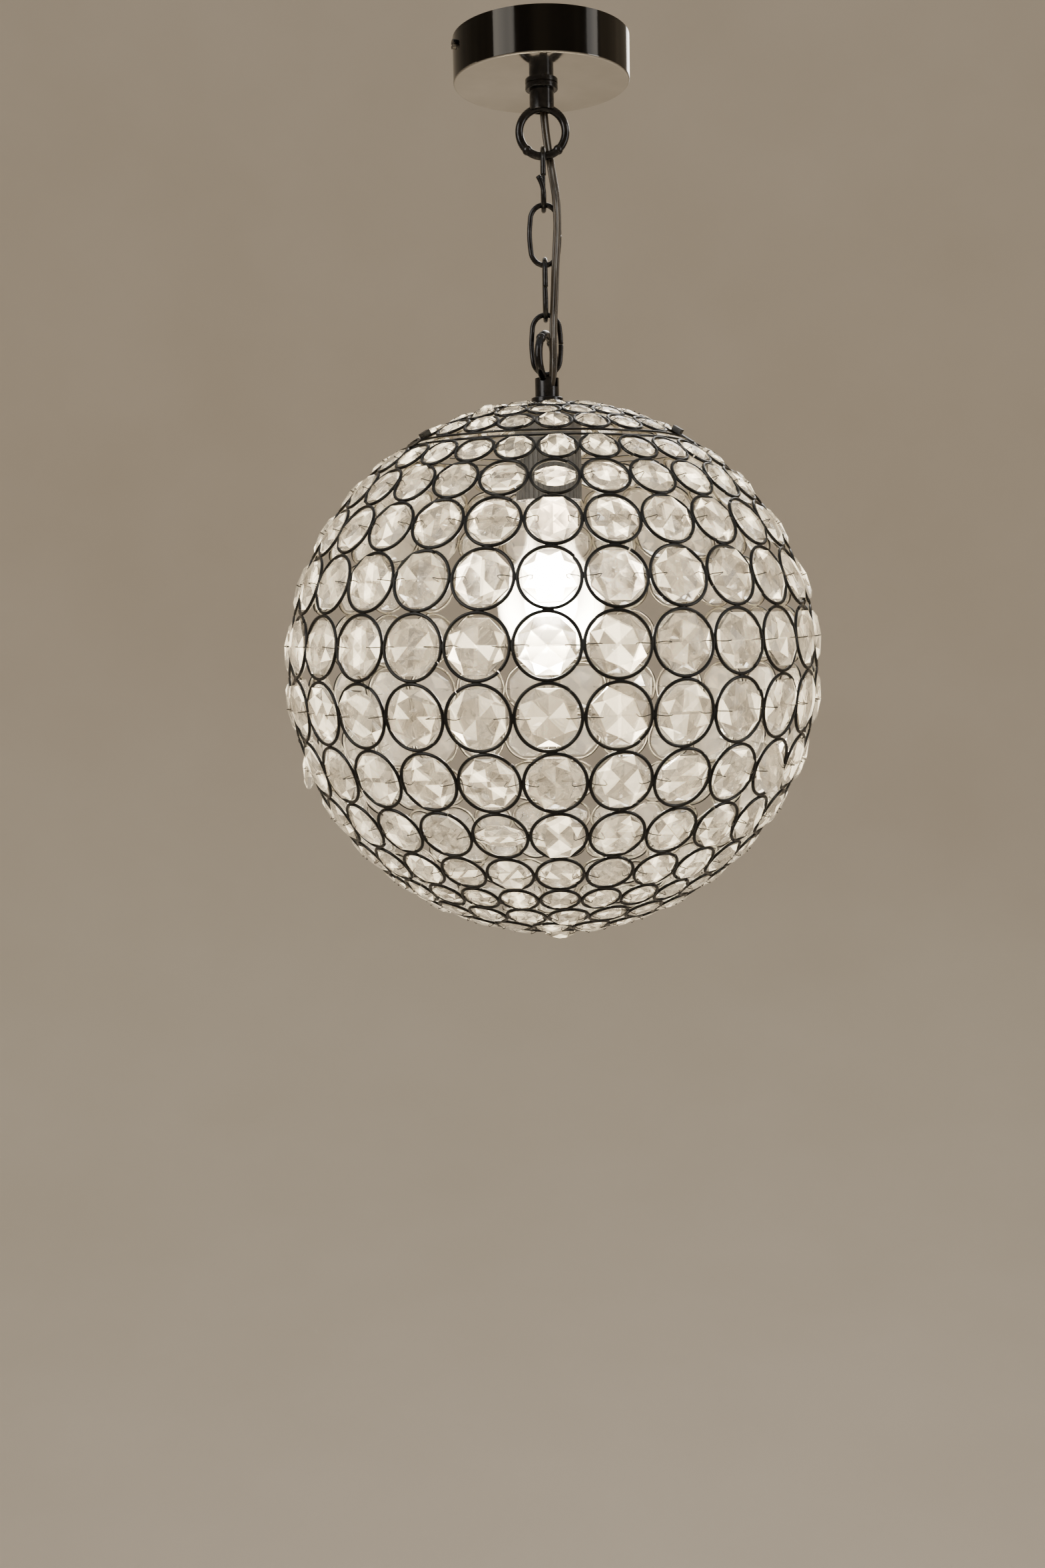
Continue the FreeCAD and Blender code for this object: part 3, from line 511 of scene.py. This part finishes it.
def build_flex():
    line = flex_line()
    above, beneath = 0.0, -1.0          # past the route's two ends
    heights = (above,) + FLEX_CUTS + (beneath,)
    for k, (high, low) in enumerate(zip(heights, heights[1:])):
        run = flex_run(line, high, low)
        build = Build()
        spots = []
        for i, p in enumerate(run):
            way = (run[min(i + 1, len(run) - 1)] - run[max(i - 1, 0)]).normalized()
            spots += flex_section(p, way)
        sides = 2 * CORE_SIDES
        build.add(spots, lathe_faces(len(run), sides))
        # the end faces have points of their own, so the sides stay smooth across a cut
        build.add(spots[:sides], [tuple(range(sides))[::-1]])
        build.add(spots[-sides:], [tuple(range(sides))])
        made = build.piece(f"flex_length_{k + 1}", None, flex_sheath, [f"flex_{k + 1}"])
        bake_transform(made)


build_flex()

# ---- the chain: oval wire links, each with a butt seam on one arm ----
LINK_WIRE = 2.8 * MM
LINK_BULGE = 1.1 * MM          # how far an arm bows out
SPRUNG = 3.0 * MM              # how far the first link's cut end has sprung aside
SEAM_STEP = 0.35 * MM          # how far the two cut ends of the others stand apart
LINK_COUNT = 4
ARM_STEPS, BOW_STEPS = 10, 20  # points along half the cut arm, and round a bow
BACK_STEPS = 18                # and along the whole arm
SEAM_GAP = 0.02                # from the arm's middle to each cut end, as a share of half the arm
SPRUNG_STEPS = 12              # points that the sprung end takes with it


def link_outline():
    """Points round a link between its cut ends: x in half widths, z in half arms, and past 1 in the bows."""
    turns = [math.pi * k / BOW_STEPS for k in range(BOW_STEPS + 1)]
    bow = [(math.cos(turn), 1 + math.sin(turn)) for turn in turns]
    outline = [(1, SEAM_GAP + (1 - SEAM_GAP) * k / ARM_STEPS) for k in range(ARM_STEPS)]
    outline += bow
    outline += [(-1, 1 - 2 * k / BACK_STEPS) for k in range(1, BACK_STEPS)]
    outline += [(-x, -z) for x, z in bow]
    return outline + [(1, -1 + (1 - SEAM_GAP) * k / ARM_STEPS) for k in range(1, ARM_STEPS + 1)]


def build_link(number, chance):
    node = f"link_{number}"
    low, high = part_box(node)
    size = high - low
    across, aside = Vector((1, 0, 0)), Vector((0, 1, 0))
    if size.x < size.y:
        across, aside = -aside, -across
    centre = (low + high) / 2
    bend = (max(size.x, size.y) - LINK_WIRE) / 2
    arm = (size.z - LINK_WIRE) / 2 - bend
    outline = link_outline()
    sprung = SPRUNG if number == 1 else SEAM_STEP * chance.uniform(0.5, 1.0)
    spots = []
    for k, (x, z) in enumerate(outline):
        height = math.copysign(min(abs(z), 1) * arm + max(abs(z) - 1, 0) * bend, z)
        bow = LINK_BULGE * math.cos(math.pi / 2 * height / (arm + bend)) ** 2
        late = max(k - len(outline) + SPRUNG_STEPS, 0) / (SPRUNG_STEPS - 1)
        aside_by = sprung * late * late
        spots.append(centre + across * (x * (bend + bow)) + Vector((0, 0, height)) + aside * aside_by)
    build = Build()
    wire(build, spots, LINK_WIRE / 2, 16)
    build.piece(f"{node}_wire", node, black_nickel, [node])


def build_chain():
    chance = random.Random(5)
    for number in range(1, LINK_COUNT + 1):
        build_link(number, chance)


build_chain()

# ---- the globe: soldered wire rings, crystals and hooks ----

def half_angle(count, latitude):
    return math.degrees(math.asin(math.sin(math.pi / count) * math.cos(math.radians(latitude))))


def stack_rows(rows, start):
    """Count, turn, latitude and angular radius of rows that touch, from a starting latitude."""
    stacked = []
    edge = start
    for count, turn in rows:
        latitude = edge
        for _ in range(40):
            latitude = edge + half_angle(count, latitude)
        angle = half_angle(count, latitude)
        stacked.append((count, turn, latitude, angle))
        edge = latitude + angle
    return stacked, edge


class Ring:
    """One crystal ring's place: x runs along the row, y up the globe and z outwards."""

    def __init__(self, turn, latitude, angle):
        line_r = GLOBE_R - WIRE_D / 2
        lean = math.radians(angle - math.degrees((WIRE_D / 2 + RING_GAP / 2) / line_r))
        self.radius = line_r * math.sin(lean)
        self.angle = angle
        lay = Matrix.Rotation(math.radians(90 - latitude), 4, "X")
        spin = Matrix.Rotation(math.radians(turn), 4, "Z") @ lay
        self.way = (spin @ Vector((0, 0, 1))).normalized()
        self.up = (spin @ Vector((0, 1, 0))).normalized()
        outward = Matrix.Translation((0, 0, line_r * math.cos(lean)))
        self.frame = Matrix.Translation((0, 0, GLOBE_Z)) @ spin @ outward


main_up, main_edge = stack_rows([(COLUMNS, turn) for turn in MAIN_TURNS], 0.0)
main_down, _ = stack_rows([(COLUMNS, turn) for turn in LOWER_TURNS], 0.0)
bottom, _ = stack_rows(BOTTOM_ROWS, main_edge)
cap, _ = stack_rows(CAP_ROWS, CAP_START)


def ring_row(row, side):
    count, turn, latitude, angle = row
    return [Ring(turn + 360 * k / count, side * latitude, angle) for k in range(count)]


CAP_RINGS = {f"cap_ring_row_{len(cap) - k}": ring_row(row, 1) for k, row in enumerate(cap)}
GLOBE_RINGS = {f"globe_ring_row_{5 - k:02d}": ring_row(row, 1) for k, row in enumerate(main_up)}
GLOBE_RINGS |= {f"globe_ring_row_{6 + k:02d}": ring_row(row, -1) for k, row in enumerate(main_down)}
GLOBE_RINGS |= {f"globe_ring_row_{11 + k:02d}": ring_row(row, -1) for k, row in enumerate(bottom)}

HOOK_NODES = {"cap": ["cap_crystal_hooks"], "globe": ["upper_crystal_hooks", "lower_crystal_hooks"]}

RING_STEPS = 60
RING_SIDES = 10
JOINT_REACH = 0.35               # solder bridges rings this near, degrees
HOOP_D = 1.3 * MM
HOOP_STEPS = 160
RING_WIRE_D = 1.85 * MM          # with its paint
CUT_SIDES = 8
LOOSE_SHARE = 0.09               # of the crystals, that sit well askew
CUT_FILL = 0.88                  # the crystal's width across flats, as a share of its ring's inside
CUT_THICK = 0.31                 # half its thickness, as a share of half its width
CUT_SHOULDER = 0.70              # where its crown breaks, as a share of its width across corners
SEAM_TURNS = (215, 235, 300, 325, 40, 62, 128)      # where makers leave a ring's two cut ends, degrees


def add_ring(build, ring, chance):
    """A ring of wire whose cut ends don't quite meet: they step apart sideways and in radius."""
    start = math.radians(chance.choice(SEAM_TURNS) + chance.uniform(-14, 14))
    gap = chance.choice((0.08, 0.12, 0.2, 0.3, 0.7)) * MM / ring.radius
    step = chance.uniform(0.05, 0.4) * MM * chance.choice((-1, 1))
    lift = chance.uniform(-0.3, 0.3) * MM
    oval = chance.uniform(-0.12, 0.12) * MM
    spots = []
    for i in range(RING_STEPS + 1):
        share = i / RING_STEPS
        turn = start + gap / 2 + (2 * math.pi - gap) * share
        end = 2 * share - 1
        away = abs(end) ** 6 * (1 if end > 0 else -1)
        radius = ring.radius + step * 0.5 * away + oval * math.cos(2 * turn) - abs(step) * 0.5 * abs(away)
        middle_spot = Vector((radius * math.cos(turn), radius * math.sin(turn), lift * away))
        out = Vector((math.cos(turn), math.sin(turn), 0))
        for s in range(RING_SIDES):
            around = 2 * math.pi * s / RING_SIDES
            reach = RING_WIRE_D / 2 * (0.93 if i in (0, RING_STEPS) else 1)
            spots.append(ring.frame @ (middle_spot + out * (reach * math.cos(around))
                                       + Vector((0, 0, reach * math.sin(around)))))
    build.add(spots, lathe_faces(RING_STEPS + 1, RING_SIDES) + end_faces(RING_STEPS + 1, RING_SIDES))


def add_crystal(build, ring, chance):
    """A cut crystal that has turned a little on its two hooks. It is solid: its hooks just run into it."""
    half = CUT_FILL * (ring.radius - WIRE_D / 2)
    outer = half / math.cos(math.pi / CUT_SIDES)
    girdle = BEAD_GIRDLE * half
    crown = CUT_THICK * half
    shoulder_r = CUT_SHOULDER * outer
    shoulder_z = girdle + (crown - girdle) * SHOULDER_UP
    loose = chance.random() < LOOSE_SHARE
    tip = chance.uniform(-30, 30) if loose else chance.gauss(0, 5)
    turned = ring.frame @ Matrix.Rotation(math.radians(tip), 4, "X")
    turned = turned @ Matrix.Rotation(math.radians(chance.gauss(0, 1.2)), 4, "Z")

    def spot(radius, step, height):
        around = 2 * math.pi * (step + 0.5) / CUT_SIDES
        return Vector((radius * math.cos(around), radius * math.sin(around), height))

    points = []
    for side in (1, -1):
        points += [spot(outer, k, side * girdle) for k in range(CUT_SIDES)]
        points += [spot(shoulder_r, k - 0.5, side * shoulder_z) for k in range(CUT_SIDES)]
        points.append(Vector((0, 0, side * crown)))
    below = 2 * CUT_SIDES + 1       # the far half's first point
    faces = []
    for k in range(CUT_SIDES):
        after = (k + 1) % CUT_SIDES
        faces.append((k, below + k, below + after, after)[::-1])
        for base in (0, below):
            here, there, tip = base + CUT_SIDES + k, base + CUT_SIDES + after, base + 2 * CUT_SIDES
            fan = [(base + k, base + after, there), (here, base + k, there), (here, there, tip)]
            faces += fan if base == 0 else [f[::-1] for f in fan]
    build.add([turned @ p for p in points], faces)


def add_hook(build, ring, side, chance):
    """A hook of thin wire from the inside of its ring to where the part's crystal is drilled."""
    half = BEAD_FILL * (ring.radius - WIRE_D / 2)
    hole = BEAD_HOLE_OUT * half
    end = ring.radius - WIRE_D / 2 + 0.1 * MM
    rise = 0.30 * half + 0.2 * MM
    slip = chance.uniform(-0.5, 0.5) * MM
    sag = chance.uniform(-0.5, 0.4) * MM
    gone = end - hole
    outline = ((end, 0.0), (end - 0.15 * gone, rise * 0.35), (hole + 0.45 * gone, rise * 0.72),
               (hole + 0.12 * gone, rise * 0.98), (hole, 0.8 * rise), (hole, -0.8 * rise),
               (hole + 0.1 * gone, -rise))
    spots = []
    for x, z in outline:
        share = (x - hole) / (end - hole)
        y = slip * share + sag * 4 * share * (1 - share)
        spots.append(ring.frame @ Vector((side * x, y, z)))
    wire(build, spots, HOOK_WIRE_D / 2, 5)


def add_blob(build, at, along, outward, size, chance):
    """A lump of solder, longest along the wires it bridges."""
    across = along.cross(outward).normalized()
    steps, sides = 7, 8
    spots = []
    for i in range(steps + 1):
        lean = math.pi * i / steps - math.pi / 2
        girth = max(math.cos(lean), 0.02) ** 0.7
        for s in range(sides):
            around = 2 * math.pi * s / sides
            swell = 1 + chance.uniform(-0.07, 0.07)
            spoke = across * (size[1] * math.cos(around)) + outward * (size[2] * math.sin(around))
            spots.append(at + along * (size[0] * math.sin(lean)) + spoke * (girth * swell))
    build.add(spots, lathe_faces(steps + 1, sides) + end_faces(steps + 1, sides))


def add_joints(build, rows, chance):
    """Solder wherever two rings of these rows nearly touch."""
    rings = [ring for row in rows for ring in row]
    line_r = GLOBE_R - WIRE_D / 2
    for i, one in enumerate(rings):
        for other in rings[i + 1:]:
            apart = math.degrees(one.way.angle(other.way))
            if apart - one.angle - other.angle > JOINT_REACH:
                continue
            at = one.way.lerp(other.way, one.angle / (one.angle + other.angle)).normalized()
            along = (other.way - one.way).cross(at).normalized()
            length = chance.uniform(1.5, 2.3) * MM
            add_blob(build, Vector((0, 0, GLOBE_Z)) + at * line_r, along, at,
                     (length, chance.uniform(0.75, 0.95) * MM, chance.uniform(0.6, 0.78) * MM), chance)


def add_hoop_joints(build, rings, side, chance):
    """Solder where each ring of an end row meets a hoop."""
    line_r = GLOBE_R - WIRE_D / 2
    for ring in rings:
        lean = math.radians(ring.angle)
        at = ring.way * math.cos(lean) + ring.up * (side * math.sin(lean))
        along = ring.up.cross(ring.way).normalized()
        add_blob(build, Vector((0, 0, GLOBE_Z)) + at * line_r, along, at,
                 (chance.uniform(1.3, 2.0) * MM, 0.8 * MM, 0.75 * MM), chance)


def build_hoop(node, body, chance):
    """A thin hand-bent hoop on the line of a CAD hoop, a little out of true."""
    low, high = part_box(node)
    line_r = (high.x - low.x) / 2 - (high.z - low.z) / 2
    phase = [chance.uniform(0, 2 * math.pi) for _ in range(4)]
    spots = []
    for i in range(HOOP_STEPS):
        turn = 2 * math.pi * i / HOOP_STEPS
        rise = (0.22 * math.sin(3 * turn + phase[0]) + 0.12 * math.sin(11 * turn + phase[1])) * MM
        radius = line_r + (0.2 * math.sin(4 * turn + phase[2]) + 0.1 * math.sin(9 * turn + phase[3])) * MM
        spots.append(Vector((radius * math.cos(turn), radius * math.sin(turn), middle(node).z + rise)))
    build = Build()
    wire(build, spots, HOOP_D / 2, 10, closed=True)
    build.piece(f"{node}_wire", body, black_wire, [node])


def build_globe():
    chance = random.Random(11)
    for node, body in (("cap_hoop", "cap"), ("globe_hoop", "globe"), ("bottom_hoop", "globe")):
        build_hoop(node, body, chance)
    for body, rings in (("cap", CAP_RINGS), ("globe", GLOBE_RINGS)):
        hooks = Build()
        for node, row in rings.items():
            wires = Build()
            for ring in row:
                add_ring(wires, ring, chance)
                for side in (-1, 1):
                    add_hook(hooks, ring, side, chance)
            wires.piece(node.replace("ring_row", "wire_rings"), body, black_wire, [node])
        hooks.piece(f"{body}_hooks", body, hook_wire, HOOK_NODES[body])
        joints = Build()
        add_joints(joints, rings.values(), chance)
        if body == "cap":
            add_hoop_joints(joints, rings["cap_ring_row_3"], -1, chance)
            add_hoop_joints(joints, rings["cap_ring_row_1"], 1, chance)
        else:
            add_hoop_joints(joints, rings["globe_ring_row_01"], 1, chance)
            add_hoop_joints(joints, rings["globe_ring_row_13"], -1, chance)
        joints.piece(f"{body}_solder", body, solder)

    groups = {f"crystals_size_{k + 1}": [f"globe_ring_row_{5 - k:02d}", f"globe_ring_row_{6 + k:02d}"]
              for k in range(5)}
    groups["bottom_crystals"] = [f"globe_ring_row_{k}" for k in (11, 12, 13)]
    groups["cap_crystals"] = list(CAP_RINGS)
    everything = CAP_RINGS | GLOBE_RINGS
    for node, names in groups.items():
        build = Build()
        for name in names:
            for ring in everything[name]:
                add_crystal(build, ring, chance)
        body = "cap" if node == "cap_crystals" else "globe"
        build.piece(f"cut_{node}", body, crystal, [node], smooth=False)


build_globe()

# ---- finishes of the CAD pieces that stay ----
LOOKS = {
    "chrome": chrome, "zinc_steel": zinc, "black_nickel": black_nickel, "brass": brass,
    "block_plastic": block_plastic, "black_wire": black_wire, "holder_plastic": holder_plastic,
    "holder_white": holder_white, "bulb_glass": bulb_glass, "bulb_metal": bulb_metal,
    "tip_insulator": tip_insulator,
}
for part in frame["record"]["subparts"]:
    node = frame["nodes"][part["node"]]
    if part["material_slot"] in LOOKS:
        for place in node.material_slots:
            place.material = LOOKS[part["material_slot"]]

# ---- studio ----
FLOOR_Z = -1.5
ROOM_R = 3.4
ROOM_H = 2.1
COVE_STEPS = 8
ROOM_SIDES = 96


def build_room():
    """A pale floor that curves up into a low round wall, so every side has the same plain backdrop."""
    profile = [(0.01 * ROOM_R, FLOOR_Z), (ROOM_R * 0.25, FLOOR_Z), (ROOM_R * 0.5, FLOOR_Z)]
    for k in range(1, COVE_STEPS + 1):
        turn = math.radians(90 * k / COVE_STEPS)
        height = FLOOR_Z + ROOM_R * 0.5 * (1 - math.cos(turn))
        profile.append((ROOM_R * (0.5 + 0.5 * math.sin(turn)), height))
    profile.append((ROOM_R, ROOM_H))
    spots = []
    for radius, height in profile:
        for s in range(ROOM_SIDES):
            turn = 2 * math.pi * s / ROOM_SIDES
            spots.append(Vector((radius * math.cos(turn), radius * math.sin(turn), height)))
    build = Build()
    build.add(spots, lathe_faces(len(profile), ROOM_SIDES) + [tuple(range(ROOM_SIDES))[::-1]])
    mesh = bpy.data.meshes.new("room")
    mesh.from_pydata(build.points, [], build.faces)
    mesh.shade_smooth()
    paint = Look("room_paint", Roughness=0.9)
    clouds = paint.noise(3, 3)
    paint.drive("Base Color", paint.ramp(clouds, (0.3, (0.63, 0.56, 0.46)), (0.7, (0.66, 0.59, 0.49))))
    mesh.materials.append(paint.material)
    room = bpy.data.objects.new("room", mesh)
    bpy.context.collection.objects.link(room)


def add_light(name, place, target, size, power, colour):
    data = bpy.data.lights.new(name, "AREA")
    data.shape = "RECTANGLE"
    data.size, data.size_y = size
    data.energy = power
    data.color = colour
    light = bpy.data.objects.new(name, data)
    bpy.context.collection.objects.link(light)
    light.location = place
    way = Vector(target) - Vector(place)
    light.rotation_euler = way.to_track_quat("-Z", "Y").to_euler()


build_room()
LAMP_MIDDLE = (0, 0, -0.25)
add_light("soft_left", (-1.5, -1.3, 0.6), LAMP_MIDDLE, (1.0, 1.6), 20, (1.0, 0.965, 0.90))
add_light("soft_right", (1.7, -0.7, 0.1), LAMP_MIDDLE, (0.5, 1.6), 10, (1.0, 0.98, 0.95))
add_light("soft_back", (0.6, 1.9, 0.9), LAMP_MIDDLE, (1.2, 0.6), 12, (1.0, 0.97, 0.92))

world = bpy.data.worlds.new("studio")
bpy.context.scene.world = world
world.use_nodes = True
world.node_tree.nodes["Background"].inputs["Color"].default_value = (1.0, 0.965, 0.91, 1)
world.node_tree.nodes["Background"].inputs["Strength"].default_value = 0.53
